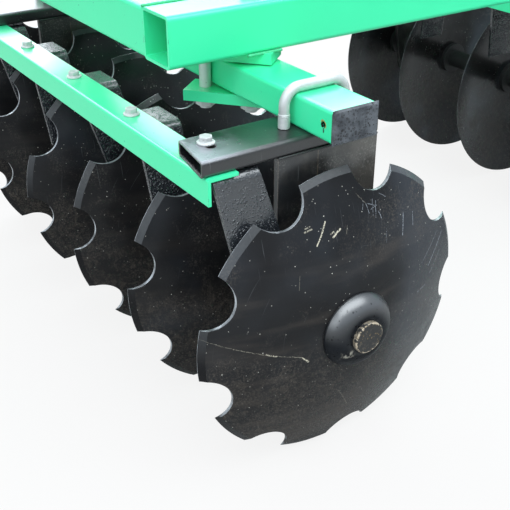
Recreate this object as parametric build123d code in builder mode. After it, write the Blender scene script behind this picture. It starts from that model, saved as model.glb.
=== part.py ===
from build123d import *
from math import cos, radians, sin, sqrt, tan
import os

# Mounted offset disc harrow, in millimetres.  +X is the machine's right, +Y the way it is
# towed and +Z up.  The origin is on the ground, under the middle of the machine's box.
# Gang pieces are drawn round their own axle: x along it, y forward, z up from its centre.
# The front gang is the rear gang's mirror image from left to right.

# ---------------------------------------------------------------- driving dimensions
disc_radius = 255
disc_depth = 55
disc_thickness = 5
disc_flat_radius = 48
disc_count = 6
disc_spacing = 226
gang_shift = -38
notch_count = 9
notch_radius = 44.5
notch_centre_outset = 6.5
bevel_width = 9
# Notch turn of each rear disc, in degrees from straight up towards the front.
notch_turns = (-27.15, 2.85, -4, 20, 23, 32.85)

gang_pitch = 1145
gang_swing = 15

shaft_size = 30
shaft_clearance = 0.3
spool_radius = 24
spool_flange_radius = 42
spool_flange_width = 12
journal_radius = 27
journal_clearance = 0.05
dome_radius = 64
dome_height = 24
dome_lip = 3
dome_bulge = 0.8
axle_head_radius = 27
axle_head_width = 8
end_nut_width = 46
end_nut_height = 25
end_washer_width = 10

beam_width = 80
beam_height = 50
beam_wall = 5
beam_corner = 6
beam_end_from_rim = 25
disc_to_beam = 51
cap_thickness = 6
cap_plug_depth = 20
tag_hole_radius = 5
tag_hole_inset = 19

arm_width = 92
arm_height = 25
arm_wall = 4
arm_rear_reach = 214
arm_end_skew = 9.5
arm_slot_length = 38
arm_slot_radius = 7.5
arm_slot_inboard = 9
arm_slot_from_end = 33
hanger_from_rim = 23
hanger_bays = (0, 4)
plate_thickness = 10
plate_back_reach = 96
plate_fore_reach = 89
plate_drop_below_axle = 62
plate_shoulder_height = 60
plate_taper = 24
plate_foot_radius = 18
plate_bore_radius = 46
housing_radius = 66
housing_width = 40
housing_split = 0.6
housing_flange_width = 12
housing_flange_step = 14

ubolt_diameter = 16
ubolt_leg_y = 56
ubolt_bend_radius = 26
ubolt_from_rim = 66
nut_height_16 = 13
nut_width_16 = 24

bar_size = 50
bar_leg = 41
bar_thickness = 5
bar_outer_from_axle = 216
bar_end_from_rim = 18
bar_beyond_foot = 8
scraper_width = 78
scraper_thickness = 6
scraper_foot_from_rim = 98
scraper_bend_from_rim = 23
scraper_drop = 178
scraper_bend_radius = 14
scraper_gap = 6
scraper_toe_in = 8
# Lean of each disc's scraper towards the axle, in degrees, from the drawn right end: its
# inner edge, then its outer one.
scraper_leans = ((15, 9.5), (5, 5), (14, 14), (5, 5), (12, 12), (15, 15))

fork_gap = 2
angle_plate_thickness = 12
running_gap = 0.3
lug_thickness = 18
lug_width = 60
lug_turn = 40
lug_inner_reach = 108
lug_outer_reach = 42
pivot_from_rim = 237
pivot_bolt_radius = 10
pivot_bush_radius = 22
stop_clearance = 1
bolt_head_height = 13
bolt_head_width = 30
bolt_thread_end = 5
washer_thickness = 4
washer_radius = 18
hole_clearance = 0.3
edge_chamfer = 1.5

member_width = 80
member_height = 80
member_wall = 5
member_corner = 8
angle_bolt_inboard = 78
slot_margin = 2
plate_edge = 35
rear_cross_behind_axle = 130
front_cross_ahead_of_axle = 280
front_cross_half_length = 400

link_pin_radius = 11
link_pin_length = 75
link_pin_chamfer = 3
link_shoulder_span = 683
link_collar_radius = 18
link_collar_width = 6
link_thread_radius = 10
link_nut_width = 30
link_nut_height = 16
linch_hole_radius = 5.5
linch_hole_from_shoulder = 58
link_pin_z = 575
link_pin_ahead_of_axle = 360
bracket_thickness = 12
bracket_radius = 35
mast_height = 460
top_link_radius = 9.65
top_link_ahead_of_axle = 335
mast_gap = 46
mast_thickness = 12
mast_radius = 32
brace_hole_back = 66
brace_hole_down = 62
brace_thickness = 10
brace_width = 56
brace_bolt_radius = 8
brace_head_height = 10
leg_foot_x = 300
leg_foot_width = 75
leg_thickness = 12
leg_top_below_link = 92
leg_top_depth = 80

# ---------------------------------------------------------------- worked out from them
machine_length = disc_radius + gang_pitch + link_pin_ahead_of_axle + bracket_radius
rear_axle_y = disc_radius - machine_length / 2
front_axle_y = rear_axle_y + gang_pitch
axle_z = disc_radius
first_rim_x = (disc_count - 1) * disc_spacing / 2 + gang_shift
rim_places = [first_rim_x - k * disc_spacing for k in range(disc_count)]
notch_centre_radius = disc_radius + notch_centre_outset

sphere_centre = (disc_depth**2 + disc_flat_radius**2 - disc_radius**2) / (2 * disc_depth)
inner_sphere = sqrt(sphere_centre**2 + disc_radius**2)
outer_sphere = inner_sphere + disc_thickness
crown_x = disc_depth + disc_thickness
shaft_hole = shaft_size + 2 * shaft_clearance

beam_half_length = first_rim_x + beam_end_from_rim
beam_above_axle = disc_radius + disc_to_beam
beam_top = beam_above_axle + beam_height
arm_top = beam_above_axle
arm_bottom = arm_top - arm_height
arm_centre_from_rim = hanger_from_rim + arm_width / 2
bar_outer_y = -bar_outer_from_axle
bar_inner_y = bar_outer_y + bar_size
hanger_rims = [rim_places[bay] for bay in hanger_bays]

member_bottom = axle_z + beam_top + fork_gap + lug_thickness
angle_plate_z = member_bottom - angle_plate_thickness
member_top = member_bottom + member_height
member_middle = member_bottom + member_height / 2
pivot_x = first_rim_x - pivot_from_rim
angle_bolt_x = angle_bolt_inboard - pivot_x
stop_bolt_y = beam_width / 2 + pivot_bolt_radius + stop_clearance
stop_bolt_reach = stop_bolt_y / sin(radians(lug_turn))
stop_bolt_x = stop_bolt_reach * cos(radians(lug_turn))
slot_arc_radius = pivot_x - angle_bolt_x
front_cross_y = front_axle_y + front_cross_ahead_of_axle
rear_cross_y = rear_axle_y - rear_cross_behind_axle
member_rear_y = rear_cross_y - member_width / 2
member_front_y = front_cross_y - member_width / 2
bracket_outer_x = link_shoulder_span / 2 - link_collar_width
bracket_inner_x = bracket_outer_x - bracket_thickness
link_pin_y = front_axle_y + link_pin_ahead_of_axle
top_link_y = front_axle_y + top_link_ahead_of_axle
top_link_z = link_pin_z + mast_height
brace_top = (top_link_y - brace_hole_back, top_link_z - brace_hole_down)

# name, 1 as drawn or -1 mirrored, its axle's y, and the way its left end swings in work
gangs = (
    ("rear", 1, rear_axle_y, 1),
    ("front", -1, front_axle_y, -1),
)

os.makedirs("parts", exist_ok=True)


def write_node(name, part):
    """Name one finished piece and write its file."""
    part.label = name
    export_step(part, f"parts/{name}.step")


def write_gang_nodes(name, part):
    """Write a gang piece twice: as drawn on the rear gang, mirrored on the front one."""
    for gang, hand, axle_y, _ in gangs:
        copy = part if hand > 0 else mirror(part, about=Plane.YZ)
        write_node(f"{gang}_{name}", Pos(0, axle_y, axle_z) * copy)


def disc_outer_x(radius):
    """Distance of the disc's convex face from its rim plane at this radius."""
    return min(crown_x, sphere_centre + sqrt(outer_sphere**2 - radius**2))


def disc_inner_x(radius):
    """Distance of the disc's concave face from its rim plane at this radius."""
    return min(disc_depth, sphere_centre + sqrt(inner_sphere**2 - radius**2))


# ---------------------------------------------------------------- discs
def plain_disc():
    """Dished disc round the x axis, rim plane at x = 0, crown towards +x, edge ground outside."""
    bevel_radius = disc_radius - bevel_width
    half = (disc_radius + disc_flat_radius) / 2
    half_outer = (bevel_radius + disc_flat_radius) / 2
    edge_land = 1
    with BuildPart() as disc:
        with BuildSketch(Plane.XY):
            with BuildLine():
                crown = Line((disc_depth, 0), (crown_x, 0))
                flat = Line(crown @ 1, (crown_x, disc_flat_radius))
                outer = ThreePointArc(
                    flat @ 1,
                    (disc_outer_x(half_outer), half_outer),
                    (disc_outer_x(bevel_radius), bevel_radius),
                )
                bevel = Line(outer @ 1, (edge_land, disc_radius))
                edge = Line(bevel @ 1, (0, disc_radius))
                inner = ThreePointArc(
                    edge @ 1, (disc_inner_x(half), half), (disc_depth, disc_flat_radius)
                )
                Line(inner @ 1, crown @ 0)
            make_face()
        revolve(axis=Axis.X)
        with BuildSketch(Plane.YZ):
            Rectangle(shaft_hole, shaft_hole)
        extrude(amount=2 * crown_x, mode=Mode.SUBTRACT)
    return disc.part


def notched_disc(turn):
    """Plain disc with round notches in its rim and the teeth ground between them."""
    with BuildPart() as disc:
        add(plain_disc())
        with BuildSketch(Plane.YZ):
            with PolarLocations(notch_centre_radius, notch_count, start_angle=90 - turn):
                Circle(notch_radius)
        extrude(amount=crown_x, both=True, mode=Mode.SUBTRACT)
    return disc.part


for number, rim_x in enumerate(rim_places):
    rear_disc = Pos(rim_x, rear_axle_y, axle_z) * notched_disc(notch_turns[number])
    write_node(f"rear_disc_{number + 1}", rear_disc)
    front_disc = Pos(-rim_x, front_axle_y, axle_z) * mirror(plain_disc(), about=Plane.YZ)
    write_node(f"front_disc_{number + 1}", front_disc)

# ---------------------------------------------------------------- axle, spools, end dome
nut_x = rim_places[-1] + disc_depth - end_washer_width
with BuildPart() as shaft:
    head_x = first_rim_x + crown_x + dome_height
    with BuildSketch(Plane.YZ.offset(nut_x - end_nut_height - bolt_thread_end)):
        Rectangle(shaft_size, shaft_size)
    extrude(amount=head_x - nut_x + end_nut_height + bolt_thread_end)
    with BuildSketch(Plane.YZ.offset(head_x)):
        Circle(axle_head_radius)
    extrude(amount=axle_head_width)
    chamfer(shaft.faces().sort_by(Axis.X)[-1].edges(), edge_chamfer)
    with BuildSketch(Plane.YZ.offset(nut_x)):
        RegularPolygon(end_nut_width / 2, 6, major_radius=False)
    extrude(amount=-end_nut_height)
write_gang_nodes("axle_shaft", shaft.part)

with BuildPart() as spools:
    for bay in range(disc_count - 1):
        spool_start = rim_places[bay + 1] + crown_x
        spool_end = rim_places[bay] + disc_depth
        with BuildSketch(Plane.YZ.offset(spool_start)):
            Circle(spool_radius)
        extrude(amount=spool_end - spool_start)
        for flange_start in (spool_start, spool_end - spool_flange_width):
            with BuildSketch(Plane.YZ.offset(flange_start)):
                Circle(spool_flange_radius)
            extrude(amount=spool_flange_width)
        if bay in hanger_bays:
            plate_face = rim_places[bay] - hanger_from_rim
            with BuildSketch(Plane.YZ.offset(plate_face)):
                Circle(journal_radius)
            extrude(amount=-(plate_thickness + housing_width + fork_gap))
    with BuildSketch(Plane.YZ.offset(nut_x)):
        Circle(spool_flange_radius)
    extrude(amount=end_washer_width)
    with BuildSketch(Plane.YZ.offset(rim_places[-1] - 1)):
        Rectangle(shaft_hole, shaft_hole)
    extrude(amount=first_rim_x + crown_x - rim_places[-1], mode=Mode.SUBTRACT)
write_gang_nodes("spools", spools.part)

with BuildPart() as dome:
    with BuildSketch(Plane.XY):
        with BuildLine():
            seat = Line((crown_x, 0), (crown_x, disc_flat_radius))
            skirt = Line(seat @ 1, (disc_outer_x(dome_radius) + running_gap, dome_radius))
            lip = Line(skirt @ 1, (disc_outer_x(dome_radius) + dome_lip, dome_radius))
            bell = ThreePointArc(
                lip @ 1,
                (crown_x + dome_bulge * dome_height, dome_bulge * dome_radius),
                (crown_x + dome_height, axle_head_radius + 4),
            )
            top = Line(bell @ 1, (crown_x + dome_height, 0))
            Line(top @ 1, seat @ 0)
        make_face()
    revolve(axis=Axis.X)
    with BuildSketch(Plane.YZ):
        Rectangle(shaft_hole, shaft_hole)
    extrude(amount=2 * crown_x, mode=Mode.SUBTRACT)
write_gang_nodes("end_dome", Pos(first_rim_x, 0, 0) * dome.part)

# ---------------------------------------------------------------- gang beam, its bush, bolt, caps
beam_middle = beam_above_axle + beam_height / 2
cap_face_x = beam_half_length + cap_thickness
for gang, hand, axle_y, _ in gangs:
    with BuildPart() as beam:
        with BuildSketch(Plane.YZ.offset(-beam_half_length)):
            with Locations((axle_y, axle_z + beam_middle)):
                RectangleRounded(beam_width, beam_height, beam_corner)
                RectangleRounded(
                    beam_width - 2 * beam_wall,
                    beam_height - 2 * beam_wall,
                    beam_corner - beam_wall + 0.5,
                    mode=Mode.SUBTRACT,
                )
        extrude(amount=2 * beam_half_length)
        with BuildSketch(Plane.XY.offset(axle_z + beam_above_axle)):
            with Locations((pivot_x, axle_y)):
                Circle(pivot_bush_radius + hole_clearance)
            with Locations((angle_bolt_x, axle_y)):
                Circle(pivot_bolt_radius + hole_clearance)
        extrude(amount=beam_height, mode=Mode.SUBTRACT)
        tag_hole_x = hand * (cap_face_x - cap_thickness - tag_hole_inset)
        with BuildSketch(Plane.XZ.offset(-axle_y)):
            with Locations((tag_hole_x, axle_z + beam_middle)):
                Circle(tag_hole_radius)
        extrude(amount=beam_width, mode=Mode.SUBTRACT)
    write_node(f"{gang}_beam", beam.part)

    with BuildPart() as swing_fittings:
        with BuildSketch(Plane.XY.offset(axle_z + beam_above_axle - fork_gap + running_gap)):
            with Locations((pivot_x, axle_y)):
                Circle(pivot_bush_radius)
                Circle(pivot_bolt_radius + journal_clearance, mode=Mode.SUBTRACT)
        extrude(amount=beam_height + 2 * (fork_gap - running_gap))
        nut_z = member_bottom + running_gap
        with Locations((angle_bolt_x, axle_y, axle_z + beam_above_axle)):
            Cylinder(
                pivot_bolt_radius,
                nut_z - axle_z - beam_above_axle + nut_height_16 + bolt_thread_end + washer_thickness,
                align=(Align.CENTER, Align.CENTER, Align.MIN),
            )
        with BuildSketch(Plane.XY.offset(axle_z + beam_above_axle)):
            with Locations((angle_bolt_x, axle_y)):
                RegularPolygon(bolt_head_width / 2, 6, major_radius=False)
        extrude(amount=-bolt_head_height)
        with BuildSketch(Plane.XY.offset(axle_z + beam_top)):
            with Locations((angle_bolt_x, axle_y)):
                Circle(bolt_head_width / 2)
        extrude(amount=angle_plate_z - axle_z - beam_top - running_gap)
        with BuildSketch(Plane.XY.offset(nut_z)):
            with Locations((angle_bolt_x, axle_y)):
                Circle(washer_radius)
        extrude(amount=washer_thickness)
        with BuildSketch(Plane.XY.offset(nut_z + washer_thickness)):
            with Locations((angle_bolt_x, axle_y)):
                RegularPolygon(bolt_head_width / 2, 6, major_radius=False)
        extrude(amount=nut_height_16)
    write_node(f"{gang}_swing_fittings", swing_fittings.part)

with BuildPart() as caps:
    for side in (1, -1):
        with BuildSketch(Plane.YZ.offset(side * beam_half_length)):
            with Locations((0, beam_middle)):
                RectangleRounded(beam_width, beam_height, beam_corner)
        extrude(amount=side * cap_thickness)
        with BuildSketch(Plane.YZ.offset(side * beam_half_length)):
            with Locations((0, beam_middle)):
                inset = 2 * (beam_wall + running_gap)
                Rectangle(beam_width - inset - 4, beam_height - inset - 4)
        extrude(amount=-side * cap_plug_depth)
    outer_faces = caps.faces().filter_by(Axis.X).sort_by(Axis.X)
    chamfer([outer_faces[0].edges(), outer_faces[-1].edges()], edge_chamfer)
write_gang_nodes("beam_caps", caps.part)

# ---------------------------------------------------------------- hangers
end_skew_reach = arm_width / 2 * tan(radians(arm_end_skew))
longest_reach = arm_rear_reach + end_skew_reach
with BuildPart() as arms:
    for rim_x in hanger_rims:
        arm_x = rim_x - arm_centre_from_rim
        with BuildSketch(Plane.XZ.offset(longest_reach)):
            with Locations((arm_x, (arm_top + arm_bottom) / 2)):
                RectangleRounded(arm_width, arm_height, beam_corner)
                RectangleRounded(
                    arm_width - 2 * arm_wall,
                    arm_height - 2 * arm_wall,
                    beam_corner - arm_wall,
                    mode=Mode.SUBTRACT,
                )
        extrude(amount=-(longest_reach + plate_fore_reach))
        with BuildSketch(Plane.XY.offset(arm_bottom)):
            with BuildLine():
                Polyline(
                    (arm_x + arm_width / 2, -longest_reach),
                    (arm_x - arm_width / 2, -longest_reach),
                    (arm_x - arm_width / 2, -longest_reach + 2 * end_skew_reach),
                    close=True,
                )
            make_face()
            with Locations((arm_x - arm_slot_inboard, -arm_rear_reach + arm_slot_from_end)):
                SlotOverall(arm_slot_length, 2 * arm_slot_radius)
            with Locations(
                (rim_x - ubolt_from_rim, ubolt_leg_y), (rim_x - ubolt_from_rim, -ubolt_leg_y)
            ):
                Circle(ubolt_diameter / 2 + hole_clearance)
        extrude(amount=arm_height, mode=Mode.SUBTRACT)
write_gang_nodes("hanger_arms", arms.part)

with BuildPart() as plates:
    for rim_x in hanger_rims:
        with BuildSketch(Plane.YZ.offset(rim_x - hanger_from_rim)):
            with BuildLine():
                Polyline(
                    (-plate_back_reach, arm_bottom),
                    (plate_fore_reach, arm_bottom),
                    (plate_fore_reach, plate_shoulder_height),
                    (plate_fore_reach - plate_taper, -plate_drop_below_axle),
                    (-plate_back_reach + plate_taper, -plate_drop_below_axle),
                    (-plate_back_reach, plate_shoulder_height),
                    close=True,
                )
            make_face()
            Circle(plate_bore_radius, mode=Mode.SUBTRACT)
        extrude(amount=-plate_thickness)
    bottom_edges = plates.edges().filter_by(Axis.X).group_by(Axis.Z)[0]
    fillet(bottom_edges, plate_foot_radius)
write_gang_nodes("hanger_plates", plates.part)

with BuildPart() as housings:
    for rim_x in hanger_rims:
        seat_x = rim_x - hanger_from_rim - plate_thickness
        with BuildSketch(Plane.YZ.offset(seat_x)):
            Circle(housing_radius)
            Circle(journal_radius + journal_clearance, mode=Mode.SUBTRACT)
        extrude(amount=-housing_flange_width)
        with BuildSketch(Plane.YZ.offset(seat_x)):
            Circle(housing_radius - housing_flange_step)
            Circle(journal_radius + journal_clearance, mode=Mode.SUBTRACT)
        extrude(amount=-housing_width)
        with Locations((seat_x - housing_width / 2, 0, 0)):
            Box(housing_width, 2 * housing_radius, housing_split, mode=Mode.SUBTRACT)
write_gang_nodes("bearing_housings", housings.part)

with BuildPart() as ubolts:
    straight_z = beam_top + 1 + ubolt_diameter / 2
    leg_end_z = arm_bottom - nut_height_16 - bolt_thread_end
    for rim_x in hanger_rims:
        ubolt_x = rim_x - ubolt_from_rim
        with BuildLine() as ubolt_path:
            FilletPolyline(
                (ubolt_x, -ubolt_leg_y, leg_end_z),
                (ubolt_x, -ubolt_leg_y, straight_z),
                (ubolt_x, ubolt_leg_y, straight_z),
                (ubolt_x, ubolt_leg_y, leg_end_z),
                radius=ubolt_bend_radius,
            )
        with BuildSketch(Plane.XY.offset(leg_end_z)):
            with Locations((ubolt_x, -ubolt_leg_y)):
                Circle(ubolt_diameter / 2)
        sweep(path=ubolt_path.wires()[0])
        with BuildSketch(Plane.XY.offset(arm_bottom)):
            with Locations((ubolt_x, -ubolt_leg_y), (ubolt_x, ubolt_leg_y)):
                RegularPolygon(nut_width_16 / 2, 6, major_radius=False)
        extrude(amount=-nut_height_16)
write_gang_nodes("u_bolts", ubolts.part)

# ---------------------------------------------------------------- scrapers and their bar
bar_start = rim_places[-1] - bar_beyond_foot - scraper_foot_from_rim
bar_length = first_rim_x - bar_end_from_rim - bar_start
with BuildPart() as bar:
    with BuildSketch(Plane.YZ.offset(bar_start)):
        with BuildLine():
            Polyline(
                (bar_outer_y, arm_bottom),
                (bar_inner_y, arm_bottom),
                (bar_inner_y, arm_bottom - bar_thickness),
                (bar_outer_y + bar_thickness, arm_bottom - bar_thickness),
                (bar_outer_y + bar_thickness, arm_bottom - bar_leg),
                (bar_outer_y, arm_bottom - bar_leg),
                close=True,
            )
        make_face()
    extrude(amount=bar_length)
    corner = bar.edges().filter_by(Axis.X).group_by(Axis.Z)[-1].sort_by(Axis.Y)[0]
    fillet(corner, bar_thickness)
write_gang_nodes("scraper_bar", bar.part)

foot_top = arm_bottom - bar_thickness
scraper_outer_y = bar_outer_y + bar_thickness + scraper_gap


def scraper(inner_lean, outer_lean):
    """One scraper beside a rim plane at x = 0: foot under the bar, blade leaning to the axle."""
    toe = scraper_drop * tan(radians(scraper_toe_in))
    inner_shift = scraper_drop * tan(radians(inner_lean))
    outer_shift = scraper_drop * tan(radians(outer_lean))
    inner_y = scraper_outer_y + scraper_width
    foot_under = foot_top - scraper_thickness
    blade_end = foot_top - scraper_drop
    bend_x = -scraper_bend_from_rim
    with BuildPart() as blade:
        with BuildSketch(Plane.XZ.offset(-scraper_outer_y)) as side:
            with BuildLine():
                Polyline(
                    (-scraper_foot_from_rim, foot_top),
                    (bend_x, foot_top),
                    (bend_x + toe, blade_end),
                    (bend_x + toe - scraper_thickness, blade_end),
                    (bend_x - scraper_thickness, foot_under),
                    (-scraper_foot_from_rim, foot_under),
                    close=True,
                )
            make_face()
            outer_bend = side.vertices().sort_by_distance((bend_x, foot_top, 0))[0]
            fillet(outer_bend, scraper_bend_radius)
            inner_bend = side.vertices().sort_by_distance(
                (bend_x - scraper_thickness, foot_under, 0)
            )[0]
            fillet(inner_bend, scraper_bend_radius - scraper_thickness)
        extrude(amount=-(scraper_width + inner_shift))
        with BuildSketch(Plane.YZ.offset(-scraper_foot_from_rim)):
            with BuildLine():
                Polyline(
                    (inner_y, foot_top + 1),
                    (inner_y + inner_shift + 1, foot_top + 1),
                    (inner_y + inner_shift + 1, blade_end),
                    (inner_y + inner_shift, blade_end),
                    (inner_y, foot_under),
                    close=True,
                )
            make_face()
            with BuildLine():
                Polyline(
                    (scraper_outer_y - 1, foot_under),
                    (scraper_outer_y, foot_under),
                    (scraper_outer_y + outer_shift, blade_end),
                    (scraper_outer_y + outer_shift, blade_end - 1),
                    (scraper_outer_y - 1, blade_end - 1),
                    close=True,
                )
            make_face()
        extrude(amount=2 * scraper_foot_from_rim, mode=Mode.SUBTRACT)
    return blade.part


with BuildPart() as scrapers:
    for rim_x, leans in zip(rim_places, scraper_leans):
        with Locations((rim_x, 0, 0)):
            add(scraper(*leans))
write_gang_nodes("scrapers", scrapers.part)

# ---------------------------------------------------------------- pivot lugs and bolts
upper_lug_z = axle_z + beam_top + fork_gap
lower_lug_z = axle_z + beam_above_axle - fork_gap - lug_thickness
with BuildPart() as lugs:
    for gang, _, axle_y, swing in gangs:
        turn = lug_turn * swing
        middle = (lug_outer_reach - lug_inner_reach) / 2
        for lug_z in (upper_lug_z, lower_lug_z):
            with BuildSketch(Plane.XY.offset(lug_z)):
                with Locations(Location((pivot_x, axle_y), turn)):
                    with Locations((middle, 0)):
                        Rectangle(lug_inner_reach + lug_outer_reach, lug_width)
                    with Locations((0, 0), (-stop_bolt_reach, 0)):
                        Circle(pivot_bolt_radius + hole_clearance, mode=Mode.SUBTRACT)
            extrude(amount=lug_thickness)
write_node("pivot_lugs", lugs.part)

with BuildPart() as pivot_bolts:
    for gang, _, axle_y, swing in gangs:
        stop_x = pivot_x - stop_bolt_x
        stop_y = axle_y - swing * stop_bolt_y
        for bolt_x, bolt_y, head_z in (
            (pivot_x, axle_y, member_top),
            (stop_x, stop_y, member_bottom),
        ):
            shank_end = lower_lug_z - nut_height_16 - bolt_thread_end
            with Locations((bolt_x, bolt_y, shank_end)):
                Cylinder(
                    pivot_bolt_radius,
                    head_z - shank_end,
                    align=(Align.CENTER, Align.CENTER, Align.MIN),
                )
            with BuildSketch(Plane.XY.offset(head_z)):
                with Locations((bolt_x, bolt_y)):
                    RegularPolygon(bolt_head_width / 2, 6, major_radius=False)
            extrude(amount=bolt_head_height)
            with BuildSketch(Plane.XY.offset(lower_lug_z)):
                with Locations((bolt_x, bolt_y)):
                    RegularPolygon(bolt_head_width / 2, 6, major_radius=False)
            extrude(amount=-nut_height_16)
write_node("pivot_bolts", pivot_bolts.part)

# ---------------------------------------------------------------- angle plates with their slots
with BuildPart() as angle_plates:
    for gang, _, axle_y, swing in gangs:
        plate_outer_x = -pivot_x - member_width / 2
        travel_y = slot_arc_radius * sin(radians(gang_swing + slot_margin))
        slot_end_x = pivot_x - slot_arc_radius * cos(radians(gang_swing + slot_margin))
        plate_inner_x = slot_end_x + plate_edge
        low = -swing * plate_edge
        high = swing * (travel_y + plate_edge)
        with BuildSketch(Plane.XY.offset(angle_plate_z)):
            with Locations(((plate_outer_x + plate_inner_x) / 2, axle_y + (low + high) / 2)):
                Rectangle(plate_inner_x - plate_outer_x, abs(high - low))
        extrude(amount=angle_plate_thickness)
        slot_arc = CenterArc(
            (pivot_x, axle_y),
            slot_arc_radius,
            180 + swing * slot_margin,
            -swing * (gang_swing + 2 * slot_margin),
            mode=Mode.PRIVATE,
        )
        with BuildSketch(Plane.XY.offset(angle_plate_z)):
            SlotArc(slot_arc, 2 * pivot_bolt_radius + 2)
        extrude(amount=angle_plate_thickness, mode=Mode.SUBTRACT)
write_node("angle_plates", angle_plates.part)


# ---------------------------------------------------------------- frame tubes
def rectangular_tube(width, height):
    """Hollow rounded section, drawn in the current sketch."""
    RectangleRounded(width, height, member_corner)
    RectangleRounded(
        width - 2 * member_wall,
        height - 2 * member_wall,
        member_corner - member_wall,
        mode=Mode.SUBTRACT,
    )


for side_name, side_x in (("right", pivot_x), ("left", -pivot_x)):
    with BuildPart() as side_member:
        with BuildSketch(Plane.XZ.offset(-member_rear_y)):
            with Locations((side_x, member_middle)):
                rectangular_tube(member_width, member_height)
        extrude(amount=member_rear_y - member_front_y)
        if side_x > 0:
            with BuildSketch(Plane.XY.offset(member_bottom)):
                with Locations((side_x, rear_axle_y), (side_x, front_axle_y)):
                    Circle(pivot_bolt_radius + hole_clearance)
            extrude(amount=member_height, mode=Mode.SUBTRACT)
    write_node(f"side_member_{side_name}", side_member.part)

inner_half = pivot_x - member_width / 2
cross_members = (
    ("front_cross_member", front_cross_y, front_cross_half_length),
    ("centre_cross_member", (rear_axle_y + front_axle_y) / 2, inner_half),
    ("rear_cross_member", rear_cross_y, inner_half),
)
for name, cross_y, half_length in cross_members:
    with BuildPart() as cross_member:
        with BuildSketch(Plane.YZ.offset(-half_length)):
            with Locations((cross_y, member_middle)):
                rectangular_tube(member_width, member_height)
        extrude(amount=2 * half_length)
    write_node(name, cross_member.part)

# ---------------------------------------------------------------- mast
with BuildPart() as mast_ears:
    for ear_x in (mast_gap / 2, -mast_gap / 2 - mast_thickness):
        with BuildSketch(Plane.YZ.offset(ear_x)):
            with Locations((front_cross_y, member_top + member_corner)):
                Rectangle(member_width - 2 * member_corner, 2 * member_corner)
            with Locations((top_link_y, top_link_z), brace_top):
                Circle(mast_radius)
            make_hull()
            with Locations((top_link_y, top_link_z)):
                Circle(top_link_radius, mode=Mode.SUBTRACT)
            with Locations(brace_top):
                Circle(brace_bolt_radius + hole_clearance, mode=Mode.SUBTRACT)
        extrude(amount=mast_thickness)
write_node("mast_ears", mast_ears.part)

ear_outer_x = mast_gap / 2 + mast_thickness
with BuildPart() as mast_legs:
    with BuildSketch(Plane.XZ.offset(-front_cross_y - leg_thickness / 2)):
        leg_top_z = top_link_z - leg_top_below_link
        for side in (1, -1):
            with BuildLine():
                Polyline(
                    (side * (leg_foot_x + leg_foot_width / 2), member_top),
                    (side * (leg_foot_x - leg_foot_width / 2), member_top),
                    (side * ear_outer_x, leg_top_z - leg_top_depth),
                    (side * ear_outer_x, leg_top_z),
                    close=True,
                )
            make_face()
    extrude(amount=leg_thickness)
write_node("mast_legs", mast_legs.part)

with BuildPart() as mast_braces:
    for brace_x in (mast_gap / 2 - brace_thickness, -mast_gap / 2):
        with BuildSketch(Plane.YZ.offset(brace_x)):
            with Locations(brace_top):
                Circle(brace_width / 2)
            with Locations((rear_cross_y, member_top + member_corner)):
                Rectangle(member_width - 2 * member_corner, 2 * member_corner)
            make_hull()
            with Locations(brace_top):
                Circle(brace_bolt_radius + hole_clearance, mode=Mode.SUBTRACT)
        extrude(amount=brace_thickness)
write_node("mast_braces", mast_braces.part)

with BuildPart() as brace_bolt:
    with BuildSketch(Plane.YZ.offset(-ear_outer_x - nut_height_16 - bolt_thread_end)):
        with Locations(brace_top):
            Circle(brace_bolt_radius)
    extrude(amount=2 * ear_outer_x + nut_height_16 + bolt_thread_end)
    with BuildSketch(Plane.YZ.offset(ear_outer_x)):
        with Locations(brace_top):
            RegularPolygon(nut_width_16 / 2, 6, major_radius=False)
    extrude(amount=brace_head_height)
    with BuildSketch(Plane.YZ.offset(-ear_outer_x)):
        with Locations(brace_top):
            RegularPolygon(nut_width_16 / 2, 6, major_radius=False)
    extrude(amount=-nut_height_16)
write_node("brace_bolt", brace_bolt.part)

# ---------------------------------------------------------------- lower link brackets and pins
with BuildPart() as link_brackets:
    for plate_x in (bracket_inner_x, -bracket_outer_x):
        with BuildSketch(Plane.YZ.offset(plate_x)):
            seat_y = front_cross_y + member_width / 2
            with Locations((link_pin_y, link_pin_z)):
                Circle(bracket_radius)
            with Locations((seat_y, member_middle)):
                Rectangle(
                    bracket_radius,
                    member_height - 2 * member_corner,
                    align=(Align.MIN, Align.CENTER),
                )
            make_hull()
            with Locations((link_pin_y, link_pin_z)):
                Circle(link_thread_radius + hole_clearance, mode=Mode.SUBTRACT)
        extrude(amount=bracket_thickness)
write_node("link_brackets", link_brackets.part)

with BuildPart() as link_pins:
    for side in (1, -1):
        shoulder_x = side * link_shoulder_span / 2
        with BuildSketch(Plane.YZ.offset(shoulder_x)):
            with Locations((link_pin_y, link_pin_z)):
                Circle(link_pin_radius)
        extrude(amount=side * link_pin_length)
        with BuildSketch(Plane.YZ.offset(shoulder_x)):
            with Locations((link_pin_y, link_pin_z)):
                Circle(link_collar_radius)
        extrude(amount=-side * link_collar_width)
        inner_x = side * bracket_inner_x
        with BuildSketch(Plane.YZ.offset(inner_x)):
            with Locations((link_pin_y, link_pin_z)):
                RegularPolygon(link_nut_width / 2, 6, major_radius=False)
        extrude(amount=-side * link_nut_height)
        with BuildSketch(Plane.YZ.offset(inner_x - side * (link_nut_height + bolt_thread_end))):
            with Locations((link_pin_y, link_pin_z)):
                Circle(link_thread_radius)
        extrude(amount=side * (link_nut_height + bolt_thread_end + bracket_thickness + 1))
        with BuildSketch(Plane.XY.offset(link_pin_z - 2 * link_pin_radius)):
            with Locations((shoulder_x + side * linch_hole_from_shoulder, link_pin_y)):
                Circle(linch_hole_radius)
        extrude(amount=4 * link_pin_radius, mode=Mode.SUBTRACT)
    end_faces = link_pins.faces().filter_by(Axis.X).sort_by(Axis.X)
    chamfer([end_faces[0].edges(), end_faces[-1].edges()], link_pin_chamfer)
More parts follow.
